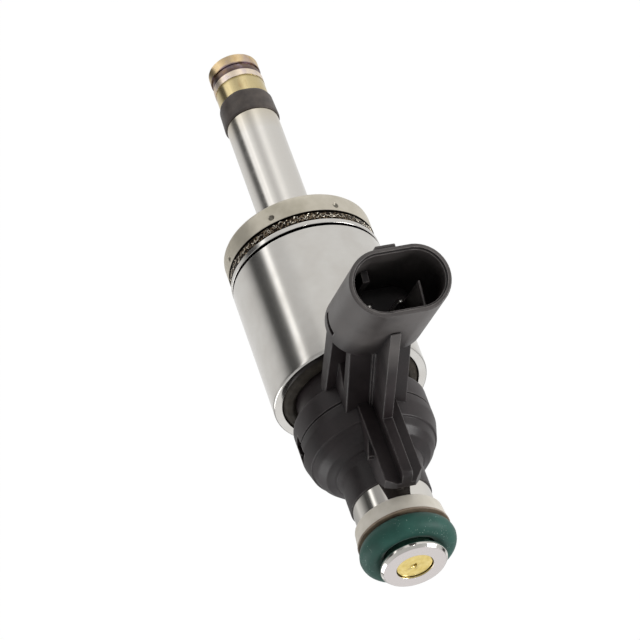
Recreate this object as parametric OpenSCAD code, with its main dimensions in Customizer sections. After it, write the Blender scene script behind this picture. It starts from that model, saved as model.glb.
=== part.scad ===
/* [Body] */
// outer radius of the steel magnet housing
body_r = 10.35; // [7:0.05:14]
// wall thickness of the magnet housing
body_wall = 1.15; // [0.6:0.05:2]
// height of the lip of the magnet housing above the seat shoulder
body_top = 25.8; // [20:0.1:36]
// height at which the magnet housing starts
body_start = 5.95; // [5:0.05:8]

/* [Nozzle shank] */
// radius of the plain shank that enters the cylinder head
shank_r = 3.65; // [2.5:0.05:5]
// length of the shank below the seat shoulder
shank_length = 31.7; // [20:0.1:45]
// radius of the fuel bore in the shank
shank_bore_r = 2.2; // [1.5:0.05:2.4]
// height of the combustion seal ring
seal_height = 3.75; // [2:0.05:6]
// how far the combustion seal stands out from the shank at its wide end
seal_proud = 0.23; // [0.1:0.01:0.5]

/* [Mounting collar] */
// how far the mounting collar stands in from the magnet housing
collar_inset = 0.2; // [0:0.05:0.5]
// thickness of the mounting collar
collar_height = 3.25; // [2:0.05:5]
// number of staking dimples round the collar
dimple_count = 7; // [0:1:12]

/* [Inlet] */
// radius of the steel inlet tube
inlet_r = 5.2; // [4.8:0.05:6.5]
// radius of the inlet end face
inlet_end_r = 4.42; // [4.2:0.02:5]
// height of the inlet face above the seat shoulder
inlet_top = 54.2; // [48:0.1:66]
// outer radius of the inlet seal ring
oring_r = 6.38; // [5.5:0.02:8]
// radius of the round section of the inlet seal ring
oring_section_r = 1.55; // [1:0.01:2]

/* [Overmould] */
// radius of the moulded flange
mould_r = 8.95; // [8:0.05:12]
// thickness of the moulding round the inlet tube at the foot of the neck
neck_cover = 0.75; // [0.6:0.05:1.5]
// height of the end of the moulded neck
neck_top = 44; // [40:0.1:50]

/* [Connector] */
// outer width of the connector shell
shell_width = 12.9; // [11:0.1:18]
// outer height of the connector shell
shell_height = 8.7; // [7.5:0.1:12]
// wall of the connector shell
shell_wall = 0.75; // [0.5:0.05:1.2]
// length of the connector shell along its own axis
shell_length = 16.7; // [12:0.1:24]
// reach of the mouth of the connector from the injector axis
mouth_reach = 35.3; // [28:0.1:44]
// height of the mouth centre above the seat shoulder
mouth_height = 36.1; // [30:0.1:44]
// rise of the connector axis from square to the injector
connector_tilt = 22; // [0:1:40]
// depth of the pin tips behind the mouth
pin_depth = 10; // [6:0.5:12]
// distance between the two terminal pins
pin_spacing = 4.1; // [3:0.1:6]

/* [Valve] */
// radius of the valve needle rod
needle_r = 1; // [0.7:0.05:1.2]
// radius of the valve ball
ball_r = 1.25; // [1.05:0.05:1.5]
// opening stroke of the valve needle
needle_lift = 0.07; // [0.04:0.01:0.15]
// free travel of the armature on the needle
armature_free = 0.04; // [0.02:0.01:0.1]
// running clearance of the moving valve pieces
running_gap = 0.05; // [0.02:0.01:0.1]

/* [Hidden] */
$fn = 96;
cut = 1;
coil_steps = 12;
collar_r = body_r - collar_inset;
neck_r = inlet_r + neck_cover;
seal_r = shank_r + seal_proud;
// shank levels, measured up from the seat shoulder
tip_z = -shank_length;
seat_cap = 1.85;
groove_z = tip_z + seat_cap;
land_z = groove_z + 1.15;
land_top = land_z + 1.1;
seal_z = land_top + 2.6;
seal_top = seal_z + seal_height;
groove_r = shank_r - 0.27;
land_r = shank_r - 0.13;
seal_seat_r = shank_r - 0.6;
seal_low_r = seal_r - 0.12;
spigot_r = shank_bore_r + 0.4;
spigot_top = tip_z + 4.7;
// valve seat
ball_z = tip_z + 3.1;
seat_gap = 0.02;
ball_seat_drop = (ball_r + seat_gap) * sqrt(2);
cone_apex = ball_z - ball_seat_drop;
sac_r = 0.3;
spray_r = 0.12;
spray_count = 6;
seat_bore_r = ball_r + running_gap;
guide_z = spigot_top + 0.6;
guide_height = 1.6;
// sleeve and armature
sleeve_z = 3;
sleeve_top = 24;
sleeve_r = 4.9;
sleeve_wall = 0.5;
sleeve_in_r = sleeve_r - sleeve_wall;
sleeve_floor = 0.6;
armature_z = 8;
armature_height = 6;
armature_r = sleeve_in_r - 0.07;
armature_top = armature_z + armature_height;
contact_gap = 0.01;
stop_z = armature_top + contact_gap;
stop_height = 1;
stop_r = 1.9;
pole_z = armature_top + needle_lift;
pole_bore_r = stop_r + 0.4;
pole_clear = 0.02;
lower_stop_r = 1.6;
lower_stop_z = 6;
lower_stop_top = armature_z - armature_free - contact_gap;
lower_flange_r = 2.7;
lower_flange_h = 0.5;
// coil
bobbin_z = 8.6;
bobbin_top = 21;
bobbin_in_r = sleeve_r + 0.05;
bobbin_out_r = body_r - body_wall - 0.45;
bobbin_flange = 0.8;
winding_in_r = bobbin_in_r + 0.75;
winding_out_r = bobbin_out_r - 0.45;
yoke_z = 21.6;
yoke_top = body_top - 1.4;
house_in_r = body_r - body_wall;
// inlet tube, with a thinner core where the overmould grips it
tube_z = sleeve_top;
inlet_core_r = inlet_r - 0.1;
collar_bore_r = shank_r - 0.25;
// shallow relief in the seat face round the foot of the shank
relief_r = shank_r + 0.05;
relief_depth = 0.2;
adjust_top = tube_z + 5.2;
tube_bore_r = 2.45;
adjust_r = 2.1;
step_z = inlet_top - 7.1;
seal_groove_r = oring_r - 2 * oring_section_r;
oring_z = inlet_top - 3.05;
support_top = inlet_top - 4.9;
washer_top = inlet_top - 4.6;
// filter plug in the mouth of the inlet
filter_r = 1.5;
filter_z = inlet_top - 8;
filter_top = inlet_top - 1.8;
// overmould
root_r = inlet_r + 2.25;
root_z = yoke_top + 0.05;
flange_z = body_top + 3.9;
flange_top = flange_z + 4.5;
shoulder_r = mould_r - 0.7;
shoulder_z = flange_z + 6.5;
// pocket in the rim of the flange, on the +X side
pocket_depth = 0.9;
pocket_width = 2.6;
pocket_height = 3;
pocket_y = -0.7;
pocket_rise = 1.8;
// arm between the overmould and the connector shell
arm_low_half = 5.4;
arm_high_half = 4.05;
web_half = 0.9;
rib_half = 0.68;
block_half = 2.56;
block_r = inlet_r + 3.9;
rib_r = block_r + 1.9;
block_top = neck_top + 3.6;
bore_w = shell_width - 2 * shell_wall;
bore_h = shell_height - 2 * shell_wall;
shell_floor = 1.4;
pin_w = 0.9;
pin_t = 0.64;
pin_back = shell_length + 2.3;
// where the pins leave the shell and turn down to the coil
pin_rear_y = -mouth_reach + pin_back * cos(connector_tilt);
pin_rear_z = mouth_height - pin_back * sin(connector_tilt);
lead_y = -inlet_r - 1.15;
// where the arm starts inside the overmould, and where it meets the shell
foot_y = -inlet_r - 0.8;
back_y = -mouth_reach + shell_length * cos(connector_tilt);
back_z = mouth_height - shell_length * sin(connector_tilt);

// a plain ring between two radii and two levels
module ring(inner, outer, low, high) {
  translate([0, 0, low])
    difference() {
      cylinder(r = outer, h = high - low);
      translate([0, 0, -cut])
        cylinder(r = inner, h = high - low + 2 * cut);
    }
}

// a flat-wire coil spring between two levels
module coil(inner, outer, low, high, turns) {
  section = [for (a = [-45 : 18 : 45]) [outer * cos(a), outer * sin(a)],
    for (a = [45 : -18 : -45]) [inner * cos(a), inner * sin(a)]];
  translate([0, 0, low])
    linear_extrude(height = high - low, twist = -360 * turns, slices = turns * coil_steps,
      segments = 14, $fn = 12)
      polygon(section);
}

// places its children in the frame of the connector, with the mouth at its origin
module at_mouth() {
  translate([0, -mouth_reach, mouth_height])
    rotate([90 - connector_tilt, 0, 0])
      children();
}

// a plate drawn in the plane of the axis and the connector, centred on it
module side_plate(half, points) {
  rotate([90, 0, 90])
    translate([0, 0, -half])
      linear_extrude(height = 2 * half)
        polygon(points);
}

module oval(w, h) {
  union() {
    square([w - h, h], center = true);
    translate([(w - h) / 2, 0])
      circle(r = h / 2);
    translate([-(w - h) / 2, 0])
      circle(r = h / 2);
  }
}

module nozzle_tube() {
  color([0.72, 0.66, 0.5])
    rotate_extrude()
      polygon([[shank_bore_r, spigot_top], [spigot_r, spigot_top], [spigot_r, groove_z],
        [groove_r, groove_z], [groove_r, land_z], [land_r, land_z], [land_r, land_top],
        [land_r - 0.04, land_top], [land_r - 0.04, seal_z], [seal_seat_r, seal_z],
        [seal_seat_r, seal_top], [shank_r, seal_top], [shank_r, 0], [collar_bore_r, 0],
        [collar_bore_r, sleeve_z], [shank_bore_r, sleeve_z]]);
}

module valve_seat() {
  color([0.76, 0.68, 0.48])
    difference() {
      union() {
        rotate_extrude()
          union() {
            translate([0, tip_z])
              square([land_r - 0.5, seat_cap]);
            translate([0, tip_z + 0.5])
              square([land_r, seat_cap - 0.5]);
            translate([land_r - 0.5, tip_z + 0.5])
              circle(r = 0.5);
          }
        translate([0, 0, tip_z + cut])
          cylinder(r = spigot_r, h = spigot_top - tip_z - cut);
      }
      translate([0, 0, ball_z])
        cylinder(r = seat_bore_r, h = spigot_top - ball_z + cut);
      translate([0, 0, cone_apex])
        cylinder(r1 = 0, r2 = ball_z - cone_apex, h = ball_z - cone_apex);
      translate([0, 0, cone_apex - 0.25])
        cylinder(r = sac_r, h = 1);
      for (i = [0 : spray_count - 1])
        rotate([0, 0, i * 360 / spray_count])
          translate([0, 0, cone_apex])
            rotate([0, 140, 0])
              cylinder(r = spray_r, h = 6, $fn = 24);
    }
}

module needle_guide() {
  color([0.7, 0.7, 0.7])
    difference() {
      translate([0, 0, guide_z])
        cylinder(r = shank_bore_r, h = guide_height);
      translate([0, 0, guide_z - cut])
        cylinder(r = needle_r + running_gap, h = guide_height + 2 * cut);
      for (i = [0 : 3])
        rotate([0, 0, 45 + 90 * i])
          translate([(needle_r + running_gap + shank_bore_r) / 2, 0, guide_z - cut])
            cylinder(r = 0.3, h = guide_height + 2 * cut, $fn = 32);
    }
}

module combustion_seal() {
  color([0.34, 0.31, 0.3])
    rotate_extrude()
      polygon([[seal_seat_r, seal_z], [seal_low_r - 0.15, seal_z], [seal_low_r, seal_z + 0.25],
        [seal_r, seal_top - 0.2], [seal_r - 0.12, seal_top], [seal_seat_r, seal_top]]);
}

module mounting_collar() {
  color([0.75, 0.74, 0.72])
    difference() {
      union() {
        rotate_extrude()
          union() {
            translate([collar_bore_r, 0])
              square([collar_r - 0.8 - collar_bore_r, collar_height]);
            translate([collar_bore_r, 0.8])
              square([collar_r - collar_bore_r, collar_height - 0.8]);
            translate([collar_r - 0.8, 0.8])
              circle(r = 0.8);
          }
        ring(sleeve_r, house_in_r, collar_height - 0.1, body_start + 2.05);
      }
      translate([0, 0, sleeve_z])
        cylinder(r = sleeve_r, h = 10);
      translate([0, 0, -cut])
        cylinder(r = relief_r, h = cut + relief_depth);
      for (i = [0 : dimple_count - 1])
        rotate([0, 0, 298 + i * 360 / max(dimple_count, 1)])
          translate([collar_r - 0.2, 0, collar_height * 0.7])
            rotate([0, 90, 0])
              cylinder(r = 0.42, h = 1, $fn = 32);
    }
}

module damping_ring() {
  color([0.3, 0.29, 0.27])
    ring(house_in_r, collar_r + 0.1, collar_height + 0.05, 4.6);
}

module spacer_ring() {
  color([0.78, 0.76, 0.73])
    ring(house_in_r, body_r - 0.02, 4.7, body_start - 0.1);
}

module magnet_housing() {
  color([0.76, 0.75, 0.73])
    rotate_extrude()
      polygon([[house_in_r, body_start], [body_r - 0.15, body_start], [body_r, body_start + 0.15],
        [body_r, body_top - 0.3], [body_r - 0.3, body_top], [house_in_r + 0.1, body_top],
        [house_in_r, body_top - 0.1]]);
}

module valve_sleeve() {
  color([0.7, 0.7, 0.72])
    difference() {
      translate([0, 0, sleeve_z])
        cylinder(r = sleeve_r, h = sleeve_top - sleeve_z);
      translate([0, 0, sleeve_z + sleeve_floor])
        cylinder(r = sleeve_in_r, h = sleeve_top);
      translate([0, 0, sleeve_z - cut])
        cylinder(r = shank_bore_r, h = 4);
    }
}

module pole_core() {
  color([0.66, 0.66, 0.68])
    ring(pole_bore_r, sleeve_in_r, pole_z + pole_clear, sleeve_top);
}

module coil_bobbin() {
  color([0.85, 0.82, 0.72])
    difference() {
      union() {
        ring(bobbin_in_r, winding_in_r, bobbin_z, bobbin_top);
        ring(bobbin_in_r, bobbin_out_r, bobbin_z, bobbin_z + bobbin_flange);
        ring(bobbin_in_r, bobbin_out_r, bobbin_top - bobbin_flange, bobbin_top);
      }
      lead_bar(-1);
      lead_bar(1);
    }
}

module coil_winding() {
  color([0.72, 0.4, 0.2])
    ring(winding_in_r, winding_out_r, bobbin_z + bobbin_flange, bobbin_top - bobbin_flange);
}

module yoke_ring() {
  color([0.6, 0.6, 0.62])
    difference() {
      ring(inlet_r + 0.15, house_in_r, yoke_z, yoke_top);
      translate([-pin_spacing, lead_y - 0.85, yoke_z - cut])
        cube([2 * pin_spacing, 2.4, 6]);
    }
}

module rear_seal() {
  color([0.2, 0.2, 0.17])
    rotate_extrude()
      polygon([[root_r + 0.02, yoke_top], [house_in_r - 0.02, yoke_top],
        [house_in_r - 0.02, body_top - 0.35], [house_in_r - 0.5, body_top + 0.25],
        [root_r + 0.5, body_top + 0.55], [root_r + 0.02, body_top + 0.2]]);
}

// the vertical run of one terminal, down to the winding
module lead_bar(side) {
  translate([side * pin_spacing / 2 - pin_t / 2, lead_y - pin_t / 2, bobbin_top - bobbin_flange])
    cube([pin_t, pin_t, pin_rear_z - bobbin_top + bobbin_flange + pin_t / 2]);
}

// one whole terminal, on the side given as -1 or 1
module terminal(side) {
  lead_bar(side);
  translate([side * pin_spacing / 2 - pin_t / 2, pin_rear_y - pin_t, pin_rear_z - pin_t / 2])
    cube([pin_t, lead_y - pin_rear_y + pin_t * 1.5, pin_t]);
  at_mouth()
    translate([side * pin_spacing / 2, 0, 0]) {
      translate([-pin_w / 2, -pin_t / 2, -pin_back])
        cube([pin_w, pin_t, pin_back - pin_depth - 0.5]);
      translate([0, 0, -pin_depth - 0.5])
        rotate([90, 0, 0])
          translate([0, 0, -pin_t / 2])
            linear_extrude(height = pin_t)
              polygon([[-pin_w / 2, 0], [pin_w / 2, 0], [pin_w / 2 - 0.25, 0.5], [0.25 - pin_w / 2, 0.5]]);
    }
}

// the solid of revolution at the heart of the overmould
module mould_core() {
  rotate_extrude()
    union() {
      translate([0, root_z])
        square([root_r, flange_z - root_z + cut]);
      polygon([[0, flange_z], [mould_r - 0.3, flange_z], [mould_r, flange_z + 0.3],
        [mould_r, flange_top], [shoulder_r, shoulder_z], [shoulder_r - 0.5, shoulder_z + 1.2],
        [shoulder_r - 1.3, shoulder_z + 2.1], [neck_r, shoulder_z + 2.7], [neck_r - 0.55, shoulder_z + 3.6],
        [neck_r - 0.55, neck_top], [0, neck_top]]);
    }
}

// the ribbed arm that carries the connector shell
module mould_arm() {
  side_plate(arm_low_half, [[foot_y, flange_z - 1.5], [back_y - 0.9, back_z - 2.2],
    [back_y - 0.2, back_z + 0.3], [foot_y, flange_z + 0.5]]);
  side_plate(arm_high_half, [[foot_y, flange_z + 3.6], [back_y + 0.6, back_z + 1.7],
    [back_y + 1.2, back_z + 3.3], [foot_y, flange_z + 5.2]]);
  side_plate(web_half, [[foot_y, flange_z - 1.1], [back_y - 0.8, back_z - 2], [back_y + 1, back_z + 3.1],
    [foot_y, flange_z + 5]]);
  side_plate(rib_half, [[foot_y + 1, flange_z + 4.3], [back_y + 1, back_z + 2.9],
    [back_y - 6.4, back_z + 6.6], [back_y - 6.4, back_z + 7.5], [-rib_r, flange_z + 9],
    [-rib_r, block_top - 0.4], [-rib_r + 0.4, block_top], [-block_r + 0.2, block_top],
    [-block_r + 0.2, flange_z + 4.3]]);
  // tongue along the neck, cut back underneath and with its end corners cut off
  intersection() {
    side_plate(block_half, [[-3, flange_z + 3.8], [-block_r, flange_z + 3.8], [-block_r, block_top],
      [-block_r + 0.9, block_top], [-inlet_r, neck_top], [-3, neck_top]]);
    rotate([90, 0, 0])
      linear_extrude(height = 20)
        polygon([[-block_half, flange_z], [-block_half, block_top - 1.9], [-1.2, block_top],
          [1.2, block_top], [block_half, block_top - 0.95], [block_half, flange_z]]);
  }
  for (side = [-1, 1])
    translate([side * (arm_high_half - 0.4), 0, 0])
      side_plate(0.4, [[foot_y, flange_z - 0.7], [foot_y - 7.5, flange_z - 0.7],
        [foot_y - 3.6, flange_z + 4.6], [foot_y, flange_z + 4.6]]);
}

module shell_body() {
  at_mouth()
    translate([0, 0, -shell_length])
      linear_extrude(height = shell_length)
        oval(shell_width, shell_height);
  // boss behind the shell, where the arm grows into it
  at_mouth()
    translate([0, -0.4, -shell_length - 2.2])
      linear_extrude(height = 2.4)
        oval(shell_width - 3.2, shell_height - 2.6);
  // locking nib on the tip side of the mouth
  at_mouth()
    translate([-0.6, -shell_height / 2 - 0.55, -2.6])
      cube([2.6, 0.8, 2]);
}

module shell_hollow() {
  at_mouth()
    difference() {
      translate([0, 0, -shell_length + shell_floor])
        linear_extrude(height = shell_length)
          oval(bore_w, bore_h);
      // keying rib on the inlet side of the socket
      translate([-2.5, bore_h / 2 - 3.4, -shell_length])
        cube([0.5, 4, shell_length - 1.5]);
      // keying block on the tip side of the socket
      translate([2.2, -bore_h / 2 - 1, -shell_length])
        cube([0.9, 1.9, shell_length - 6]);
    }
}

module overmould() {
  color([0.16, 0.15, 0.15])
    difference() {
      union() {
        mould_core();
        mould_arm();
        shell_body();
      }
      shell_hollow();
      cylinder(r = inlet_core_r, h = neck_top);
      translate([0, 0, neck_top])
        cylinder(r = inlet_r, h = 10);
      // windows through the side walls of the shell, near its floor
      at_mouth()
        translate([-shell_width, -1.5, -shell_length + shell_floor + 0.4])
          cube([2 * shell_width, 3, 0.8]);
      // pocket in the rim of the moulded flange
      translate([mould_r - pocket_depth, pocket_y, flange_z + pocket_rise])
        cube([pocket_depth + cut, pocket_width, pocket_height]);
      terminal(-1);
      terminal(1);
    }
}

module terminal_left() {
  color([0.8, 0.8, 0.78])
    terminal(-1);
}

module terminal_right() {
  color([0.8, 0.8, 0.78])
    terminal(1);
}

module inlet_tube() {
  color([0.8, 0.8, 0.8])
    rotate_extrude()
      polygon([[adjust_r, tube_z], [inlet_core_r, tube_z], [inlet_core_r, neck_top], [inlet_r, neck_top],
        [inlet_r, step_z], [seal_groove_r, step_z], [seal_groove_r, inlet_top - 1.2],
        [inlet_end_r, inlet_top - 0.85], [inlet_end_r, inlet_top - 0.35],
        [inlet_end_r - 0.3, inlet_top], [tube_bore_r, inlet_top], [tube_bore_r, adjust_top + 1],
        [adjust_r, adjust_top + 1]]);
}

module adjusting_sleeve() {
  color([0.7, 0.7, 0.7])
    ring(1.2, adjust_r, tube_z + 0.2, adjust_top);
}

module closing_spring() {
  color([0.5, 0.5, 0.52])
    coil(1.3, stop_r, stop_z + stop_height, tube_z + 0.2, 6);
}

module inlet_filter() {
  color([0.82, 0.7, 0.38])
    difference() {
      union() {
        ring(filter_r, tube_bore_r, filter_z, filter_z + 1);
        ring(filter_r, tube_bore_r, filter_top, inlet_top - 0.9);
        translate([0, 0, inlet_top - 1])
          cylinder(r = tube_bore_r - 0.12, h = 0.75);
        for (i = [0 : 3])
          rotate([0, 0, 90 * i])
            translate([filter_r, -0.35, filter_z + 0.2])
              cube([0.9, 0.7, filter_top - filter_z + 0.2]);
      }
      translate([0, 0, filter_z])
        cylinder(r = 0.32, h = 10, $fn = 32);
    }
}

module filter_screen() {
  color([0.6, 0.6, 0.6])
    ring(filter_r - 0.2, filter_r - 0.01, filter_z + 0.2, filter_top + 0.5);
}

module support_ring() {
  color([0.69, 0.67, 0.63])
    rotate_extrude()
      polygon([[seal_groove_r, step_z], [oring_r - 0.56, step_z], [oring_r - 0.33, support_top],
        [seal_groove_r, support_top]]);
}

module backup_washer() {
  color([0.35, 0.27, 0.2])
    ring(seal_groove_r, oring_r - 0.25, support_top, washer_top);
}

module inlet_oring() {
  color([0.17, 0.34, 0.3])
    rotate_extrude()
      translate([oring_r - oring_section_r, oring_z])
        circle(r = oring_section_r);
}

module needle_rod() {
  color([0.75, 0.75, 0.76])
    translate([0, 0, ball_z + ball_r * 0.6])
      cylinder(r = needle_r, h = stop_z + stop_height - ball_z - ball_r * 0.6);
}

module valve_ball() {
  color([0.8, 0.8, 0.82])
    difference() {
      translate([0, 0, ball_z])
        sphere(r = ball_r);
      translate([0, 0, ball_z + ball_r * 0.6])
        cylinder(r = needle_r + 0.5, h = ball_r);
    }
}

module upper_stop() {
  color([0.7, 0.7, 0.7])
    ring(needle_r, stop_r, stop_z, stop_z + stop_height);
}

module lower_stop() {
  color([0.7, 0.7, 0.7])
    union() {
      ring(needle_r, lower_stop_r, lower_stop_z, lower_stop_top);
      ring(needle_r, lower_flange_r, lower_stop_z, lower_stop_z + lower_flange_h);
    }
}

module armature() {
  color([0.62, 0.62, 0.64])
    difference() {
      translate([0, 0, armature_z])
        cylinder(r = armature_r, h = armature_height);
      translate([0, 0, armature_z - cut])
        cylinder(r = needle_r + running_gap, h = armature_height + 2 * cut);
      for (i = [0 : 3])
        rotate([0, 0, 90 * i])
          translate([3.35, 0, armature_z - cut])
            cylinder(r = 0.5, h = armature_height + 2 * cut, $fn = 32);
    }
}

module armature_spring() {
  color([0.5, 0.5, 0.52])
    coil(lower_stop_r + 0.3, lower_flange_r, lower_stop_z + lower_flange_h, armature_z, 1);
}

nozzle_tube();
valve_seat();
needle_guide();
combustion_seal();
mounting_collar();
damping_ring();
spacer_ring();
magnet_housing();
valve_sleeve();
pole_core();
coil_bobbin();
coil_winding();
yoke_ring();
rear_seal();
overmould();
terminal_left();
terminal_right();
inlet_tube();
adjusting_sleeve();
closing_spring();
inlet_filter();
filter_screen();
support_ring();
backup_washer();
inlet_oring();
needle_rod();
valve_ball();
upper_stop();
lower_stop();
armature();
armature_spring();
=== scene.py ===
import math
import random

import bmesh
import bpy
from mathutils import Matrix, Vector


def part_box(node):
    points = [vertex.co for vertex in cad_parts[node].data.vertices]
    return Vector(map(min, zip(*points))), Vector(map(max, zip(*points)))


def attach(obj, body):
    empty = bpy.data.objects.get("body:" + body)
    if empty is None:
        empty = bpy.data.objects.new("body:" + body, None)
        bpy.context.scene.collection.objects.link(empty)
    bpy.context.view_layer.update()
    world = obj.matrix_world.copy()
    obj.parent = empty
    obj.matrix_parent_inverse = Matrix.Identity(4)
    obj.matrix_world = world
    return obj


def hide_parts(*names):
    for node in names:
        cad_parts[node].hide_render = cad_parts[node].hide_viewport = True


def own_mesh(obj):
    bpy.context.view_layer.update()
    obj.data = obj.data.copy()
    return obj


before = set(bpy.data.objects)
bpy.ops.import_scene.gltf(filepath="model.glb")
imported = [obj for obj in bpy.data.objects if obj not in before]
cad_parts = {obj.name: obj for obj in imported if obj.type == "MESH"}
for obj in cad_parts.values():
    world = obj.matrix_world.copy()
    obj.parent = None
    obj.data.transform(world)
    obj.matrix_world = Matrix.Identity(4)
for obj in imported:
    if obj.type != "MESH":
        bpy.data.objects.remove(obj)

mm = 0.001
chance = random.Random(11)
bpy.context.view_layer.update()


# ---------------------------------------------------------------- sizes in millimetres, some read from the CAD parts, some given

def levels(node):
    """A turned CAD node's outer radius, its lowest level and its highest."""
    low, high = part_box(node)
    return [round(size / mm, 2) for size in (high.x, low.z, high.z)]


land_r, tip_z, guide_z = levels("valve_seat")
shank_r, land_low, shank_top = levels("nozzle_tube")
seal_r, seal_low, seal_top = levels("combustion_seal")
collar_r, seat_z, spigot_top = levels("mounting_collar")
mesh_r, mesh_low, mesh_top = levels("damping_ring")
spacer_r, spacer_low, spacer_top = levels("spacer_ring")
body_r, body_low, body_top = levels("magnet_housing")
yoke_r = levels("yoke_ring")[0]
bead_r, bead_low, bead_top = levels("rear_seal")
sleeve_r, sleeve_low = levels("valve_sleeve")[:2]
inlet_r, inlet_low, inlet_top = levels("inlet_tube")
support_r, support_low, support_top = levels("support_ring")
washer_r, washer_low, washer_top = levels("backup_washer")
oring_r, oring_low, oring_top = levels("inlet_oring")
filter_r, filter_low, filter_top = levels("inlet_filter")

shank_bore_r = 2.2
seal_seat_r = 3.05
collar_top = 3.25
oring_seat_r = 3.28
inlet_core_r = 5.1
neck_top = 44.0
block_top = 47.6
shell_length = 16.7
tilt = math.radians(22)
mouth_y, mouth_z = -35.3, 36.1


# ---------------------------------------------------------------- shapes

def ring_edges(bm, r, z):
    """The edges that run round the injector axis at this radius and height."""
    def there(v):
        return abs(math.hypot(v.co.x, v.co.y) - r * mm) < 3e-6 and abs(v.co.z - z * mm) < 1e-6
    return [e for e in bm.edges if there(e.verts[0]) and there(e.verts[1])]


def turned(outline, steps=128):
    """A closed outline of (radius, height, edge radius) in millimetres, spun round the injector axis."""
    path = []
    for here, after in zip(outline, outline[1:] + outline[:1]):
        path.append(here)
        length = math.dist(here[:2], after[:2])
        shares = []
        if here[2] and length > 5 * here[2]:
            shares.append(2.2 * here[2] / length)
        if after[2] and length > 5 * after[2]:
            shares.append(1 - 2.2 * after[2] / length)
        for share in shares:
            path.append((here[0] + (after[0] - here[0]) * share, here[1] + (after[1] - here[1]) * share, 0))
    bm = bmesh.new()
    verts = [bm.verts.new((r * mm, 0, z * mm)) for r, z, size in path]
    sides = zip(verts, verts[1:] + verts[:1])
    edges = [bm.edges.new(side) for side in sides if side[0].co.x + side[1].co.x > 1e-9]
    bmesh.ops.spin(bm, geom=verts + edges, cent=(0, 0, 0), axis=(0, 0, 1), angle=math.tau, steps=steps,
                   use_merge=True)
    bmesh.ops.remove_doubles(bm, verts=bm.verts, dist=1e-7)
    bmesh.ops.recalc_face_normals(bm, faces=bm.faces)
    for r, z, size in outline:
        if size:
            bmesh.ops.bevel(bm, geom=ring_edges(bm, r, z), offset=size * mm, offset_type="OFFSET", segments=4,
                            profile=0.5, affect="EDGES", material=-1)
    return bm


def bevel_all(bm, size, segments=3):
    """Rounds every sharp edge of a closed mesh."""
    sharp = [e for e in bm.edges if e.is_manifold and e.calc_face_angle() > 0.3]
    bmesh.ops.bevel(bm, geom=sharp, offset=size * mm, offset_type="OFFSET", segments=segments, profile=0.5,
                    affect="EDGES", material=-1, clamp_overlap=True)


def plate(side, x_low, x_high, size):
    """A rib or plate: an outline of (y, z) in millimetres, drawn out along X and rounded at its edges."""
    bm = bmesh.new()
    face = bm.faces.new([bm.verts.new((x_low * mm, y * mm, z * mm)) for y, z in side])
    grown = bmesh.ops.extrude_face_region(bm, geom=[face])
    moved = [g for g in grown["geom"] if isinstance(g, bmesh.types.BMVert)]
    bmesh.ops.translate(bm, verts=moved, vec=((x_high - x_low) * mm, 0, 0))
    bmesh.ops.recalc_face_normals(bm, faces=bm.faces)
    if size:
        bevel_all(bm, size)
    return bm


mouth = Matrix.Translation((0, mouth_y * mm, mouth_z * mm)) @ Matrix.Rotation(math.pi / 2 - tilt, 4, "X")


def block(low, high, size, place=Matrix.Identity(4)):
    """A rounded block between two corners in millimetres."""
    bm = bmesh.new()
    centre = [(a + b) / 2 * mm for a, b in zip(low, high)]
    span = [(b - a) * mm for a, b in zip(low, high)]
    bmesh.ops.create_cube(bm, size=1, matrix=Matrix.Translation(centre) @ Matrix.Diagonal((*span, 1)))
    if size:
        bevel_all(bm, size, 2)
    bmesh.ops.transform(bm, matrix=place, verts=bm.verts)
    return bm


def oval(width, height, low, high, lift=0, rims=(0, 0), corners=24):
    """A prism with two round ends in the connector's frame, with its lower and upper rims rounded."""
    bm = bmesh.new()
    turn = Matrix.Rotation(math.pi / (2 * corners), 4, "Z")
    bmesh.ops.create_circle(bm, cap_ends=True, radius=height / 2 * mm, segments=2 * corners, matrix=turn)
    for v in bm.verts:
        v.co.x += math.copysign((width - height) / 2 * mm, v.co.x)
    grown = bmesh.ops.extrude_face_region(bm, geom=list(bm.faces))
    top = [g for g in grown["geom"] if isinstance(g, bmesh.types.BMVert)]
    bmesh.ops.translate(bm, verts=top, vec=(0, 0, (high - low) * mm))
    bmesh.ops.recalc_face_normals(bm, faces=bm.faces)
    for level, size in ((0, rims[0]), (high - low, rims[1])):
        if size:
            edges = [e for e in bm.edges if all(abs(v.co.z - level * mm) < 1e-7 for v in e.verts)]
            bmesh.ops.bevel(bm, geom=edges, offset=size * mm, offset_type="OFFSET", segments=3, profile=0.5,
                            affect="EDGES", material=-1)
    bmesh.ops.transform(bm, matrix=mouth @ Matrix.Translation((0, lift * mm, low * mm)), verts=bm.verts)
    return bm


def joined(*meshes):
    """Several closed shells kept as one mesh."""
    whole = bmesh.new()
    for bm in meshes:
        part = bpy.data.meshes.new("shell")
        bm.to_mesh(part)
        bm.free()
        whole.from_mesh(part)
        bpy.data.meshes.remove(part)
    return whole


def carved(first, steps):
    """Adds or cuts closed solids one by one, and returns the result."""
    def held(bm):
        bmesh.ops.recalc_face_normals(bm, faces=bm.faces)
        mesh = bpy.data.meshes.new("solid")
        bm.to_mesh(mesh)
        bm.free()
        o = bpy.data.objects.new("solid", mesh)
        bpy.context.scene.collection.objects.link(o)
        return o
    base = held(first)
    for how, bm in steps:
        tool = held(bm)
        change = base.modifiers.new("change", "BOOLEAN")
        change.operation, change.solver, change.object = how, "EXACT", tool
        done = bpy.data.meshes.new_from_object(base.evaluated_get(bpy.context.evaluated_depsgraph_get()))
        base.modifiers.clear()
        base.data = done
        bpy.data.objects.remove(tool)
    out = bmesh.new()
    out.from_mesh(base.data)
    bpy.data.objects.remove(base)
    return out


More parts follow.
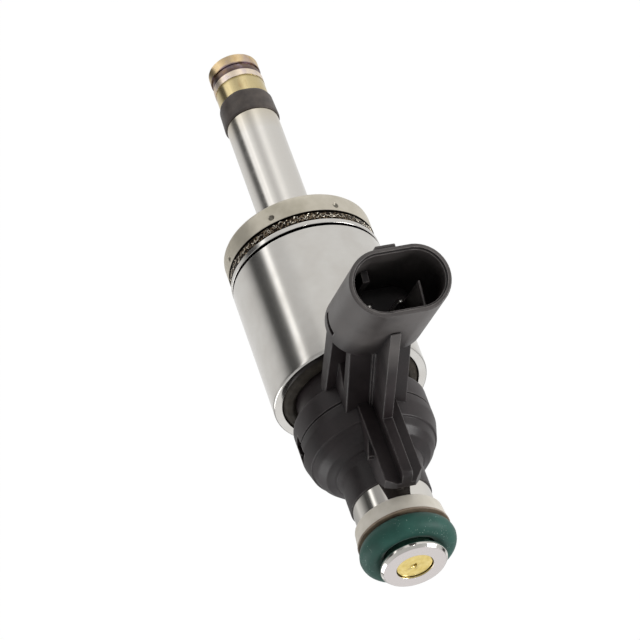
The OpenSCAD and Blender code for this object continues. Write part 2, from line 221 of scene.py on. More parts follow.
def finished(bm, name, material, body, nodes, flat_angle=35, weighted=False):
    """Turns a mesh into a shown piece that rides on a body and stands for its CAD nodes."""
    mesh = bpy.data.meshes.new(name)
    bm.to_mesh(mesh)
    bm.free()
    mesh.shade_smooth()
    mesh.set_sharp_from_angle(angle=math.radians(flat_angle))
    mesh.materials.append(material)
    piece = bpy.data.objects.new(name, mesh)
    bpy.context.scene.collection.objects.link(piece)
    if weighted:
        piece.modifiers.new("even shading", "WEIGHTED_NORMAL").keep_sharp = True
    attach(piece, body)
    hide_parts(*nodes)
    return piece


# ---------------------------------------------------------------- finishes

def linear(colour):
    """An sRGB hex colour as linear red, green, blue and alpha."""
    parts = [int(colour[i:i + 2], 16) / 255 for i in (1, 3, 5)]
    return [p / 12.92 if p <= 0.04045 else ((p + 0.055) / 1.055) ** 2.4 for p in parts] + [1]


def add(tree, kind, links=None, **settings):
    """Adds one node. Links go from sockets to its inputs; a setting that names an input sets that input."""
    node = tree.nodes.new(kind)
    for key, value in settings.items():
        if hasattr(node, key) and key not in node.inputs:
            setattr(node, key, value)
    for key, value in settings.items():
        if not (hasattr(node, key) and key not in node.inputs):
            node.inputs[key.replace("_", " ") if isinstance(key, str) else key].default_value = value
    for key, socket in (links or {}).items():
        tree.links.new(socket, node.inputs[key])
    return node


def finish_of(name, metallic=0.0, roughness=0.5, **sockets):
    """A material with one Principled shader, and the object's own coordinates in millimetres."""
    material = bpy.data.materials.new(name)
    material.use_nodes = True
    tree = material.node_tree
    shader = tree.nodes["Principled BSDF"]
    shader.inputs["Metallic"].default_value = metallic
    shader.inputs["Roughness"].default_value = roughness
    for key, value in sockets.items():
        shader.inputs[key.replace("_", " ")].default_value = value
    place = add(tree, "ShaderNodeTexCoord").outputs["Object"]
    in_mm = add(tree, "ShaderNodeMapping", {"Vector": place}, Scale=(1000, 1000, 1000)).outputs["Vector"]
    return material, tree, shader, in_mm


def speckle(tree, where, size, detail=3, roughness=0.55):
    """Soft noise whose blotches are about this many millimetres across."""
    return add(tree, "ShaderNodeTexNoise", {"Vector": where}, Scale=1 / size, Detail=detail,
               Roughness=roughness).outputs["Fac"]


def spread(tree, factor, low, high, to_low, to_high):
    """Maps one range of numbers to another and holds it inside."""
    return add(tree, "ShaderNodeMapRange", {"Value": factor}, clamp=True, **{
        "From Min": low, "From Max": high, "To Min": to_low, "To Max": to_high}).outputs["Result"]


def mixed(tree, factor, one, two):
    """A colour between two, each a hex string or a socket."""
    node = add(tree, "ShaderNodeMix", {"Factor": factor}, data_type="RGBA")
    for socket, colour in ((node.inputs[6], one), (node.inputs[7], two)):
        if isinstance(colour, str):
            socket.default_value = linear(colour)
        else:
            tree.links.new(colour, socket)
    return node.outputs[2]


def bumped(tree, shader, height, depth, strength=1.0, under=None):
    """Gives the shader a relief of this depth in millimetres, over another normal if there is one."""
    links = {"Height": height}
    if under:
        links["Normal"] = under
    bump = add(tree, "ShaderNodeBump", links, Strength=strength, Distance=depth * mm)
    tree.links.new(bump.outputs["Normal"], shader.inputs["Normal"])


def height_of(tree, where):
    """The height along the injector axis, in millimetres."""
    return add(tree, "ShaderNodeSeparateXYZ", {"Vector": where}).outputs["Z"]


def stretched(tree, where, scale):
    """Coordinates scaled along each axis: a small share draws a pattern out along that axis."""
    return add(tree, "ShaderNodeMapping", {"Vector": where}, Scale=scale).outputs["Vector"]


def radius_of(tree, where):
    """The distance from the injector axis, in millimetres."""
    return add(tree, "ShaderNodeVectorMath", {"Vector": stretched(tree, where, (1, 1, 0))},
               operation="LENGTH").outputs["Value"]


def times(tree, one, two):
    """One number times another."""
    return add(tree, "ShaderNodeMath", {0: one, 1: two}, operation="MULTIPLY").outputs[0]


def turned_steel(name, light, dark, roughness, grain=0.0012, painted_shade=None):
    """Turned stainless steel: fine rings round the axis, 0.18 mm apart so that they show, and cloudy handling
    marks. The last argument is a function that says where painted shade darkens the steel, in gaps and
    hollows."""
    material, tree, shader, where = finish_of(name, 1.0, roughness)
    clouds = speckle(tree, where, 3.5)
    colour = mixed(tree, spread(tree, clouds, 0.3, 0.7, 0, 1), light, dark)
    # Painted shade: the colour goes to near black #16110d in gaps and hollows.
    if painted_shade:
        colour = mixed(tree, painted_shade(tree, where), colour, "#16110d")
    tree.links.new(colour, shader.inputs["Base Color"])
    rings = speckle(tree, stretched(tree, where, (0.12, 0.12, 1)), 0.18, 2)
    handled = spread(tree, clouds, 0.25, 0.75, roughness * 0.8, roughness * 1.25)
    tree.links.new(handled, shader.inputs["Roughness"])
    bumped(tree, shader, rings, grain)
    return material


def painted_gap_shade(tree, where):
    """Painted shade inside the gaps between the collar, the mesh, the spacer and the jacket."""
    inside = spread(tree, radius_of(tree, where), body_r - 0.15, body_r - 0.07, 1, 0)
    below = spread(tree, height_of(tree, where), 7, 8, 1, 0)
    return times(tree, inside, below)


def painted_collar_shade(tree, where):
    """Painted shade at the foot of the knitted ring and, less so, in the dimples."""
    level = height_of(tree, where)
    foot = spread(tree, level, collar_top - 0.11, collar_top - 0.05, 0, 1)
    pits = spread(tree, radius_of(tree, where), collar_r - 0.08, collar_r - 0.01, 0.62, 0)
    band = times(tree, spread(tree, level, 1.4, 1.5, 0, 1), pits)
    return add(tree, "ShaderNodeMath", {0: foot, 1: band}, operation="MAXIMUM").outputs[0]


# The body steel carries painted shade inside the gaps round the jacket.
body_steel = turned_steel("turned_stainless_steel", "#cfcdc9", "#c7c4bf", 0.15, 0.0012, painted_gap_shade)
# The collar steel carries painted shade at the foot of the knitted ring and in the dimples.
collar_steel = turned_steel("turned_collar_steel", "#cfc9bc", "#bab4a5", 0.48, 0.002, painted_collar_shade)
inner_steel = turned_steel("ground_valve_steel", "#b9b9bb", "#a4a4a8", 0.3)
spring_steel = turned_steel("drawn_spring_steel", "#8d8d92", "#6f6f75", 0.35)


def shank_steel():
    """Turned steel that has been hot: silver above the seal, then straw, violet and brown to the tip."""
    material, tree, shader, where = finish_of("heat_tinted_shank_steel", 1.0, 0.2)
    wander = spread(tree, speckle(tree, where, 1.4), 0.25, 0.75, -0.09, 0.09)
    level = add(tree, "ShaderNodeMath", {0: height_of(tree, where), 1: wander}, operation="ADD").outputs[0]
    silver = tip_z + 14
    ramp = add(tree, "ShaderNodeValToRGB", {"Fac": spread(tree, level, tip_z, silver, 0, 1)})
    stops = (
        (tip_z, "#c8b18a"), (-30.1, "#d0b88e"), (-29.95, "#6a5342"), (-29.4, "#74635a"), (-28.85, "#59484a"),
        (-28.65, "#e0d0bc"), (-27.75, "#e6d6c4"), (-27.6, "#8b7a4c"), (-27.2, "#c6b68a"), (-25.0, "#c8b88c"),
        (-21.0, "#c9c2b4"), (silver, "#cfccc7"))
    for i, (height, colour) in enumerate(stops):
        at = (height - tip_z) / (silver - tip_z)
        stop = ramp.color_ramp.elements[i] if i < 2 else ramp.color_ramp.elements.new(at)
        stop.position, stop.color = at, linear(colour)
    tints = times(tree, spread(tree, speckle(tree, where, 1.3, 2), 0.5, 0.66, 0, 0.32),
                  spread(tree, level, -27.7, -27.5, 1, 0))
    colour = mixed(tree, tints, ramp.outputs["Color"], "#9d94b4")
    rust = spread(tree, speckle(tree, stretched(tree, where, (1, 1, 0.4)), 1.5, 3), 0.55, 0.7, 0, 0.45)
    rust = times(tree, rust, spread(tree, level, -25.2, -24.8, 1, 0))
    tree.links.new(mixed(tree, rust, colour, "#a07c4c"), shader.inputs["Base Color"])
    marks = spread(tree, speckle(tree, where, 1.1, 4), 0.3, 0.7, 0.13, 0.24)
    dull = spread(tree, level, -27.6, -27.2, 0.16, 0)
    rough = add(tree, "ShaderNodeMath", {0: marks, 1: dull}, operation="ADD")
    tree.links.new(rough.outputs[0], shader.inputs["Roughness"])
    bumped(tree, shader, speckle(tree, stretched(tree, where, (0.12, 0.12, 1)), 0.16, 2), 0.0008)
    return material


def inlet_steel():
    """Ground and polished steel, mirror bright round the tube, with a satin lapped face at the very end and
    painted shade, nearly black, down the bore."""
    material, tree, shader, where = finish_of("polished_inlet_steel", 1.0, 0.06)
    level = height_of(tree, where)
    face = spread(tree, level, inlet_top - 0.06, inlet_top - 0.03, 0, 1)
    # Painted shade: the colour goes to near black #1a1510 down the bore, below the end.
    bore = spread(tree, radius_of(tree, where), filter_r + 0.01, filter_r + 0.05, 1, 0)
    bore = times(tree, bore, spread(tree, level, inlet_top - 0.6, inlet_top - 0.3, 1, 0))
    colour = mixed(tree, face, "#dad7d1", "#cdc7c5")
    tree.links.new(mixed(tree, bore, colour, "#1a1510"), shader.inputs["Base Color"])
    polish = spread(tree, speckle(tree, where, 1.6), 0.3, 0.7, 0.05, 0.1)
    rough = add(tree, "ShaderNodeMix", {"Factor": face, 2: polish}, data_type="FLOAT")
    rough.inputs[3].default_value = 0.26
    tree.links.new(rough.outputs[0], shader.inputs["Roughness"])
    bumped(tree, shader, speckle(tree, where, 0.12, 3), 0.0008)
    return material


def knitted_steel():
    """Knitted steel wire pressed to a ring: painted light makes it bright where a wire stands up; below, it
    is brown, with nearly black painted shade between the wires.
    """
    material, tree, shader, where = finish_of("knitted_steel_wire", 1.0, 0.3)
    proud = spread(tree, radius_of(tree, where), mesh_r - 0.19, mesh_r - 0.11, 0, 1)
    wire_spacing = 0.3
    knots = add(tree, "ShaderNodeTexVoronoi", {"Vector": where}, Scale=1 / wire_spacing,
                feature="F1").outputs["Distance"]
    # Painted shade, nearly black, between the wires; the next line paints light on the wires that stand up.
    pressed = mixed(tree, spread(tree, knots, 0.15, 0.55, 1, 0), "#1d1610", "#8a7a65")
    tree.links.new(mixed(tree, proud, pressed, "#e6dece"), shader.inputs["Base Color"])
    bumped(tree, shader, knots, 0.12)
    return material


def moulded_nylon():
    """Glass-filled black nylon: a moulded grain of about 0.15 mm, a grey bloom where the glass floats up,
    dust and painted light on the open faces of the connector, painted highlights on the edges, painted shade
    in the corners, and painted shade that makes the socket nearly black."""
    material, tree, shader, where = finish_of("moulded_glass_filled_nylon", roughness=0.42,
                                              Specular_IOR_Level=0.32)
    bloom = spread(tree, speckle(tree, where, 4.5, 4, 0.6), 0.35, 0.72, 0, 1)
    colour = mixed(tree, bloom, "#1b1617", "#292223")
    fibres = speckle(tree, stretched(tree, where, (1, 0.35, 0.35)), 0.22, 3, 0.7)
    colour = mixed(tree, spread(tree, fibres, 0.62, 0.75, 0, 0.25), colour, "#3c3837")
    axes = add(tree, "ShaderNodeSeparateXYZ", {"Vector": where}).outputs
    open_air = add(tree, "ShaderNodeAmbientOcclusion", samples=8, Distance=5 * mm).outputs["AO"]
    # Dust and painted light: the open faces of the connector shell are painted a lighter grey.
    on_shell = spread(tree, axes["Y"], -23, -19, 0.8, 0)
    dust = times(tree, on_shell, spread(tree, open_air, 0.55, 0.85, 0, 1))
    colour = mixed(tree, times(tree, dust, spread(tree, bloom, 0, 1, 0.6, 1)), colour, "#5c5856")
    # Painted shade: deep in the socket the colour goes nearly black.
    socket = times(tree, spread(tree, axes["Y"], -27, -25, 1, 0), spread(tree, open_air, 0.25, 0.6, 0.85, 0))
    colour = mixed(tree, socket, colour, "#060405")
    edge = add(tree, "ShaderNodeAmbientOcclusion", inside=True, only_local=True, samples=8,
               Distance=0.16 * mm).outputs["AO"]
    # Painted highlights: a pale line along the edges, broken up by noise.
    painted_edge_highlight = times(tree, spread(tree, edge, 0.55, 0.95, 0.95, 0),
                 spread(tree, speckle(tree, where, 0.9, 3), 0.35, 0.6, 0.25, 1))
    colour = mixed(tree, painted_edge_highlight, colour, "#787371")
    # Painted shade: dark in the corners.
    corner = add(tree, "ShaderNodeAmbientOcclusion", only_local=True, samples=8,
                 Distance=0.5 * mm).outputs["AO"]
    colour = mixed(tree, spread(tree, corner, 0.45, 0.9, 0.7, 0), colour, "#060405")
    tree.links.new(colour, shader.inputs["Base Color"])
    tree.links.new(spread(tree, bloom, 0, 1, 0.36, 0.5), shader.inputs["Roughness"])
    soft = add(tree, "ShaderNodeBevel", samples=4, Radius=0.1 * mm).outputs["Normal"]
    bumped(tree, shader, speckle(tree, where, 0.15, 3), 0.006, 0.6, soft)
    return material


def green_rubber():
    """Fluorocarbon rubber: a dull green skin with white talc dust caught on it."""
    material, tree, shader, where = finish_of("green_fluorocarbon_rubber", 0.0, 0.55, IOR=1.4)
    shader.inputs["Sheen Weight"].default_value = 0.06
    clouds = spread(tree, speckle(tree, where, 1.8, 4), 0.3, 0.7, 0, 1)
    colour = mixed(tree, clouds, "#0f3f36", "#184b41")
    dust = add(tree, "ShaderNodeTexVoronoi", {"Vector": stretched(tree, where, (1, 1, 1.7))}, Scale=1 / 0.3,
               feature="F1", Randomness=1).outputs["Distance"]
    patches = spread(tree, speckle(tree, where, 1.4, 2), 0.5, 0.62, 0, 1)
    grains = add(tree, "ShaderNodeMath", {0: spread(tree, dust, 0.1, 0.2, 1, 0), 1: patches},
                 operation="MULTIPLY").outputs[0]
    tree.links.new(mixed(tree, grains, colour, "#9fb8ac"), shader.inputs["Base Color"])
    bumped(tree, shader, speckle(tree, where, 0.2, 3), 0.01)
    return material


def seal_polymer():
    """Carbon-filled fluoropolymer: waxy, grey-brown, with faint rings from the cutting tool 0.25 mm apart."""
    material, tree, shader, where = finish_of("carbon_filled_fluoropolymer", 0.0, 0.48, IOR=1.38)
    clouds = spread(tree, speckle(tree, where, 1.2, 4), 0.3, 0.7, 0, 1)
    tree.links.new(mixed(tree, clouds, "#3a3431", "#4e4641"), shader.inputs["Base Color"])
    bumped(tree, shader, speckle(tree, stretched(tree, where, (0.2, 0.2, 1)), 0.25, 2), 0.006)
    return material


def plain_plastic(name, light, dark, roughness=0.45):
    """A smooth moulded plastic with slight clouding and a fine grain of 0.1 mm."""
    material, tree, shader, where = finish_of(name, 0.0, roughness, IOR=1.5)
    clouds = spread(tree, speckle(tree, where, 1.5, 3), 0.3, 0.7, 0, 1)
    tree.links.new(mixed(tree, clouds, light, dark), shader.inputs["Base Color"])
    bumped(tree, shader, speckle(tree, where, 0.1, 2), 0.004)
    return material


def sealing_compound():
    """A bead of cured sealing compound: olive black, uneven and half dull."""
    material, tree, shader, where = finish_of("cured_sealing_compound", roughness=0.65, IOR=1.4,
                                              Specular_IOR_Level=0.25)
    clouds = spread(tree, speckle(tree, where, 0.9, 4), 0.3, 0.7, 0, 1)
    tree.links.new(mixed(tree, clouds, "#231f19", "#37312a"), shader.inputs["Base Color"])
    bumped(tree, shader, speckle(tree, where, 0.7, 3), 0.05)
    return material


def satin_brass():
    """Turned and tumbled brass: warm, satin, with a few darker rub marks."""
    material, tree, shader, where = finish_of("satin_brass", 1.0, 0.38)
    marks = speckle(tree, where, 0.7, 4)
    colour = mixed(tree, spread(tree, marks, 0.35, 0.7, 0, 1), "#ead68f", "#dac273")
    tree.links.new(colour, shader.inputs["Base Color"])
    bumped(tree, shader, speckle(tree, where, 0.25, 3), 0.006)
    return material


def tinned_contact():
    """Tin-plated copper alloy: bright, a little wavy."""
    material, tree, shader, where = finish_of("tin_plated_contact", 1.0, 0.28)
    marks = speckle(tree, where, 0.5, 3)
    tree.links.new(mixed(tree, marks, "#f2efea", "#dedad2"), shader.inputs["Base Color"])
    bumped(tree, shader, marks, 0.01)
    return material


def copper_winding():
    """Enamelled copper wire: turns of 0.3 mm wire side by side, glossy and orange-brown, with painted shade
    between the turns and painted light on their crowns.
    """
    material, tree, shader, where = finish_of("enamelled_copper_wire", 1.0, 0.25)
    wire_pitch = 0.3
    waves_per_unit = 3.183
    turns = add(tree, "ShaderNodeTexWave", {"Vector": where}, bands_direction="Z", wave_profile="SIN",
                Scale=1 / wire_pitch / waves_per_unit).outputs["Fac"]
    # Painted shade and light across each turn: dark between the turns, light on their crowns.
    tree.links.new(mixed(tree, turns, "#7c4120", "#c67a45"), shader.inputs["Base Color"])
    bumped(tree, shader, turns, 0.08)
    return material


nozzle_steel = shank_steel()
tube_steel = inlet_steel()
wire = knitted_steel()
nylon = moulded_nylon()
rubber = green_rubber()
fluoropolymer = seal_polymer()
ring_plastic = plain_plastic("moulded_support_ring_plastic", "#c6c0b5", "#b9b3a6", 0.4)
washer_plastic = plain_plastic("brown_washer_plastic", "#857563", "#665748", 0.4)
bobbin_nylon = plain_plastic("natural_bobbin_nylon", "#dcd6c0", "#cdc6ae", 0.45)
compound = sealing_compound()
brass = satin_brass()
tin = tinned_contact()
copper = copper_winding()

inside_finish = {
    "needle_guide": inner_steel, "valve_sleeve": inner_steel, "pole_core": inner_steel,
    "yoke_ring": inner_steel, "adjusting_sleeve": inner_steel, "filter_screen": inner_steel,
    "needle_rod": inner_steel, "valve_ball": inner_steel, "upper_stop": inner_steel,
    "lower_stop": inner_steel, "armature": inner_steel, "closing_spring": spring_steel,
    "armature_spring": spring_steel, "coil_bobbin": bobbin_nylon, "coil_winding": copper,
    "valve_seat": nozzle_steel,
}
for node, material in inside_finish.items():
    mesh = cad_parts[node].data
    mesh.materials.clear()
    mesh.materials.append(material)


def shortened_spring():
    """The closing spring: a copy of the CAD coil with its loose triangles merged, shown as one piece on the
    housing.
    """
    coil = bmesh.new()
    coil.from_mesh(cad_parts["closing_spring"].data)
    bmesh.ops.remove_doubles(coil, verts=coil.verts, dist=1e-7)
    piece = finished(coil, "closing_spring_coil", spring_steel, "housing", ["closing_spring"])
    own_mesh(piece)


shortened_spring()


# ---------------------------------------------------------------- nozzle end

# From the tip up: the dark groove, the pale land, the straw-coloured neck, the seal's seat and the shank.
groove_r, sunk_r = 3.38, 3.48
pale_low, pale_high = -28.7, -27.6
shank = turned([
    (shank_bore_r, guide_z, 0), (2.6, guide_z, 0), (2.6, land_low, 0), (groove_r, land_low, 0),
    (groove_r, pale_low, 0), (land_r, pale_low, 0.04), (land_r, pale_high, 0.04), (sunk_r, pale_high, 0),
    (sunk_r, seal_low, 0.04), (seal_seat_r, seal_low, 0), (seal_seat_r, seal_top, 0),
    (shank_r, seal_top, 0.08), (shank_r, seat_z, 0), (3.4, seat_z, 0), (3.4, shank_top, 0),
    (shank_bore_r, shank_top, 0)])
finished(shank, "nozzle_shank", nozzle_steel, "housing", ["nozzle_tube"])

seal = turned([
    (seal_seat_r, seal_low, 0), (3.61, seal_low, 0.08), (3.76, -24.6, 0.1), (3.8, -23.4, 0),
    (seal_r, -21.45, 0.1), (3.76, seal_top, 0), (seal_seat_r, seal_top, 0)], 160)
# The seal's lower edge is a little wavy, as if it had been pressed in hot.
wavy_from, wavy_over = -23.6, 1.4
for v in seal.verts:
    around = math.atan2(v.co.y, v.co.x)
    low = max(0.0, (wavy_from * mm - v.co.z) / (wavy_over * mm))
    v.co.z += low * mm * (0.05 * math.sin(3 * around + 1) + 0.03 * math.sin(7 * around))
finished(seal, "combustion_seal_ring", fluoropolymer, "housing", ["combustion_seal"])

dimple_count, first_dimple = 7, 298
dimple_r, dimple_out, dimple_z = 0.5, 10.38, 2.28
dimples = []
for i in range(dimple_count):
    angle = math.radians(first_dimple + i * 360 / dimple_count)
    at = Vector((dimple_out * math.cos(angle), dimple_out * math.sin(angle), dimple_z)) * mm
    pit = bmesh.new()
    bmesh.ops.create_icosphere(pit, subdivisions=3, radius=dimple_r * mm, matrix=Matrix.Translation(at))
    dimples.append(("DIFFERENCE", pit))
collar = turned([
    (3.4, 0.2, 0), (3.7, 0.2, 0), (3.7, seat_z, 0), (collar_r, seat_z, 0.8), (collar_r, collar_top, 0.1),
    (yoke_r, collar_top, 0), (yoke_r, spigot_top, 0.1), (sleeve_r, spigot_top, 0), (sleeve_r, sleeve_low, 0),
    (3.4, sleeve_low, 0)], 160)
finished(carved(collar, dimples), "mounting_collar_plate", collar_steel, "housing",
         ["mounting_collar"])


def bent_wire(step):
    """One short bend of wire that stands out of the knitted ring, at this step of the way round it."""
    bend = bmesh.new()
    reach = chance.uniform(0.16, 0.32)
    upright = Matrix.Translation((reach * mm, 0, 0)) @ Matrix.Rotation(math.pi / 2, 4, "X")
    bmesh.ops.create_circle(bend, radius=0.05 * mm, segments=5, matrix=upright)
    bmesh.ops.spin(bend, geom=bend.verts[:] + bend.edges[:], cent=(0, 0, 0), axis=(0, 0, 1),
                   angle=chance.uniform(1.6, 3.4), steps=6)
    bmesh.ops.contextual_create(bend, geom=[e for e in bend.edges if e.is_boundary][:5])
    bmesh.ops.holes_fill(bend, edges=[e for e in bend.edges if e.is_boundary], sides=0)
    bmesh.ops.recalc_face_normals(bend, faces=bend.faces)
    around = math.tau * (step + chance.uniform(-0.3, 0.3)) / wire_count
    level = chance.uniform(mesh_low + 0.42, mesh_top - 0.38)
    middle = Matrix.Translation(((mesh_r - 0.17) * mm, 0, level * mm))
    turn = Matrix.Rotation(math.pi / 2, 4, "Y") @ Matrix.Rotation(chance.uniform(0, math.tau), 4, "Z")
    lean = Matrix.Rotation(chance.uniform(-0.25, 0.25), 4, "X")
    bmesh.ops.transform(bend, matrix=Matrix.Rotation(around, 4, "Z") @ middle @ turn @ lean, verts=bend.verts)
    return bend


wire_count = 220
mesh_core = turned([
    (yoke_r, mesh_low + 0.1, 0), (mesh_r - 0.2, mesh_low + 0.1, 0.1), (mesh_r - 0.2, mesh_top - 0.05, 0.1),
    (yoke_r, mesh_top - 0.05, 0)])
knitted = joined(mesh_core, *[bent_wire(step) for step in range(wire_count)])
finished(knitted, "knitted_damping_ring", wire, "housing", ["damping_ring"])

spacer_foot, spacer_rim = spacer_low + 0.12, spacer_top - 0.33
spacer = turned([
    (yoke_r, spacer_foot, 0), (spacer_r, spacer_foot, 0.08), (spacer_r, spacer_rim, 0.06),
    (yoke_r, spacer_rim, 0)], 160)
finished(spacer, "spacer_band", body_steel, "housing", ["spacer_ring"])

jacket_low = body_low + 0.03
jacket = turned([
    (yoke_r, jacket_low, 0), (body_r, jacket_low, 0.08), (body_r, body_top, 0.25),
    (yoke_r, body_top, 0.1)], 192)
finished(jacket, "magnet_jacket", body_steel, "housing", ["magnet_housing"])

bead_bore_r = 7.47
bead = turned([
    (bead_bore_r, bead_low, 0), (bead_r, bead_low, 0), (bead_r, 25.45, 0.1), (8.7, 26.05, 0.15),
    (7.95, bead_top, 0.15), (bead_bore_r, 26.0, 0)], 160)
for v in bead.verts:
    if v.co.z > (body_top - 0.2) * mm:
        around = math.atan2(v.co.y, v.co.x)
        v.co.z += mm * (0.05 * math.sin(9 * around) + 0.04 * math.sin(23 * around + 2))
finished(bead, "rear_sealing_bead", compound, "housing", ["rear_seal"])


# ---------------------------------------------------------------- overmould and connector

# The root in the jacket, the flange with a fine line round it, the stepped dome and the neck.
mould_r = 8.95
root_r = inlet_r + 2.25
neck_r = 5.4
flange_z = body_top + 3.9
flange_top = flange_z + 4.5
core = turned([
    (inlet_core_r, 24.45, 0), (root_r, 24.45, 0), (root_r, flange_z, 0), (mould_r, flange_z, 0.25),
    (mould_r, 32.72, 0.05), (8.75, 32.78, 0), (8.75, 32.98, 0), (8.97, 33.04, 0.05), (8.97, flange_top, 0.2),
    (8.42, 36.3, 0.08), (8.15, 36.42, 0), (7.75, 37.4, 0.2), (6.95, 38.3, 0.1), (6.72, 38.4, 0),
    (6.0, 38.86, 0.08), (5.75, 38.95, 0), (neck_r, 39.8, 0.15), (neck_r, neck_top, 0.12),
    (inlet_core_r, neck_top, 0)], 128)


def across(half, side, size):
    """A plate of the arm, this far to each side of the middle, with its outline given as (y, z)."""
    return "UNION", plate(side, -half, half, size)


# The arm runs from inside the overmould to the back of the connector shell.
root_y = -6
back_y = round(mouth_y + shell_length * math.cos(tilt), 3)
back_z = round(mouth_z - shell_length * math.sin(tilt), 3)
lower_plate = [(root_y, 28.2), (back_y - 0.9, back_z - 2.2), (back_y - 0.2, back_z + 0.3), (root_y, 30.2)]
upper_plate = [(root_y, 33.3), (back_y + 0.6, back_z + 1.7), (back_y + 1.2, back_z + 3.3), (root_y, 34.9)]
web = [(root_y, 28.6), (back_y - 0.8, back_z - 2), (back_y + 1, back_z + 3.1), (root_y, 34.7)]
rib = [(-5.2, 34), (back_y + 1, back_z + 2.9), (back_y - 6.4, back_z + 6.6), (back_y - 6.4, back_z + 7.5),
       (-11, 38.7), (-11, 47.2), (-10.6, block_top), (-8.9, block_top), (-8.9, 44), (-5.2, 43.6)]
wide_foot = [(-9.0, 34.1), (-18.2, 32.9), (-18.2, 33.5), (-9.0, 34.8)]
narrow_foot = [(-9.0, 34.1), (-18.2, 32.9), (-18.2, 33.8), (-9.0, 35.1)]
tongue = [(-5.2, 33.5), (-9.1, 33.5), (-9.1, block_top), (-8.2, block_top), (-5.3, 44), (-5.2, 43.9)]
cheek = [(root_y, 29), (-13.5, 29), (-9.6, 34.3), (root_y, 34.3)]
tongue_half = 2.56
upper_half = 4.05
arm = [
    across(5.4, lower_plate, 0.18), across(upper_half, upper_plate, 0.18), across(0.9, web, 0.12),
    across(0.68, rib, 0.14), across(1.1, wide_foot, 0.06), across(0.86, narrow_foot, 0.06),
    across(tongue_half, tongue, 0.16),
    ("UNION", plate(cheek, upper_half - 0.8, upper_half, 0.12)),
    ("UNION", plate(cheek, -upper_half, 0.8 - upper_half, 0.12)),
]

# The shell, its neck, the catch on its rim, the socket and the small step at the socket's mouth.
shell = [
    ("UNION", oval(12.9, 8.7, -shell_length, 0, 0, (0.5, 0.22))),
    ("UNION", oval(9.7, 6.1, -18.9, 0.2 - shell_length, -0.4, (0.4, 0))),
    ("UNION", block((-0.6, -4.9, -2.6), (2.0, -4.1, -0.6), 0.14, mouth)),
    ("DIFFERENCE", oval(11.4, 7.2, -15.3, 1)),
    ("DIFFERENCE", oval(11.9, 7.7, -0.3, 1)),
]


def wedge(points, near, far):
    """A small prism: an outline of (x, z) in millimetres, drawn out along Y."""
    bm = bmesh.new()
    face = bm.faces.new([bm.verts.new((x * mm, near * mm, z * mm)) for x, z in points])
    grown = bmesh.ops.extrude_face_region(bm, geom=[face])
    moved = [g for g in grown["geom"] if isinstance(g, bmesh.types.BMVert)]
    bmesh.ops.translate(bm, verts=moved, vec=(0, (far - near) * mm, 0))
    bmesh.ops.recalc_face_normals(bm, faces=bm.faces)
    return bm


def corner_cut(x, z, width, height):
    """Takes a corner off the end of the tongue."""
    outer = math.copysign(width, x)
    over = 1.02
    edge = x + outer * (over - 1)
    return wedge([(edge, z + height * over), (edge, z), (x - outer, z + height * over)], -12, -3)


keying_rib = block((-3.1, -0.3, -15.6), (-2.8, 3.7, -2.6), 0.12, mouth)
socket_pad = block((2.2, -3.7, -15.6), (3.1, -2.1, -6.0), 0.08, mouth)
tongue_web = wedge([(2.3, 38.9), (2.45, 38.9), (3.4, 42.2), (2.3, 42.2)], -8.4, -7.7)
side_windows = block((-8, -1.5, -14.9), (8, 1.5, -13.7), 0, mouth)
flange_pocket = block((8.05, -0.7, 31.5), (9.5, 1.9, 34.5), 0)
body = carved(core, arm + shell + [
    ("UNION", keying_rib), ("UNION", tongue_web), ("UNION", socket_pad), ("DIFFERENCE", side_windows),
    ("DIFFERENCE", flange_pocket), ("DIFFERENCE", corner_cut(-tongue_half, 45.7, 1.36, 1.9)),
    ("DIFFERENCE", corner_cut(tongue_half, 46.65, 1.36, 0.95)),
])
finished(body, "connector_overmould", nylon, "housing", ["overmould"], 30, True)


def contact(side):
    """One terminal: the tapered blade in the socket, the run along the arm and the leg to the coil."""
    x = 2.05 * side
    width, thickness, length, taper = 0.9, 0.64, 9, 0.4
    blade = bmesh.new()
    bmesh.ops.create_cube(blade, size=1, matrix=Matrix.Translation((0, 0, -14.5 * mm))
                          @ Matrix.Diagonal((width * mm, thickness * mm, length * mm, 1)))
    tip = [f for f in blade.faces if f.normal.z > 0.9]
    grown = bmesh.ops.extrude_face_region(blade, geom=tip)
    end = [g for g in grown["geom"] if isinstance(g, bmesh.types.BMVert)]
    bmesh.ops.translate(blade, verts=end, vec=(0, 0, taper * mm))
    bmesh.ops.scale(blade, verts=end, vec=(0.45, 0.5, 1))
    bmesh.ops.delete(blade, geom=tip, context="FACES_ONLY")
    bevel_all(blade, 0.05, 2)
    bmesh.ops.transform(blade, matrix=Matrix.Translation((x * mm, 0, 0)), verts=blade.verts)
    bmesh.ops.transform(blade, matrix=mouth, verts=blade.verts)
    half = thickness / 2
    blade_end = shell_length + 2.3
    rear_y = mouth_y + blade_end * math.cos(tilt)
    rear_z = mouth_z - blade_end * math.sin(tilt)
    run = block((x - half, rear_y - 0.6, rear_z - half), (x + half, -6.04, rear_z + half), 0.05)
    leg = block((x - half, -6.67, 20.2), (x + half, -6.03, rear_z + half), 0.05)
    return joined(blade, run, leg)


finished(contact(-1), "terminal_blade_left", tin, "housing", ["terminal_left"], 30, True)
finished(contact(1), "terminal_blade_right", tin, "housing", ["terminal_right"], 30, True)


# ---------------------------------------------------------------- inlet end

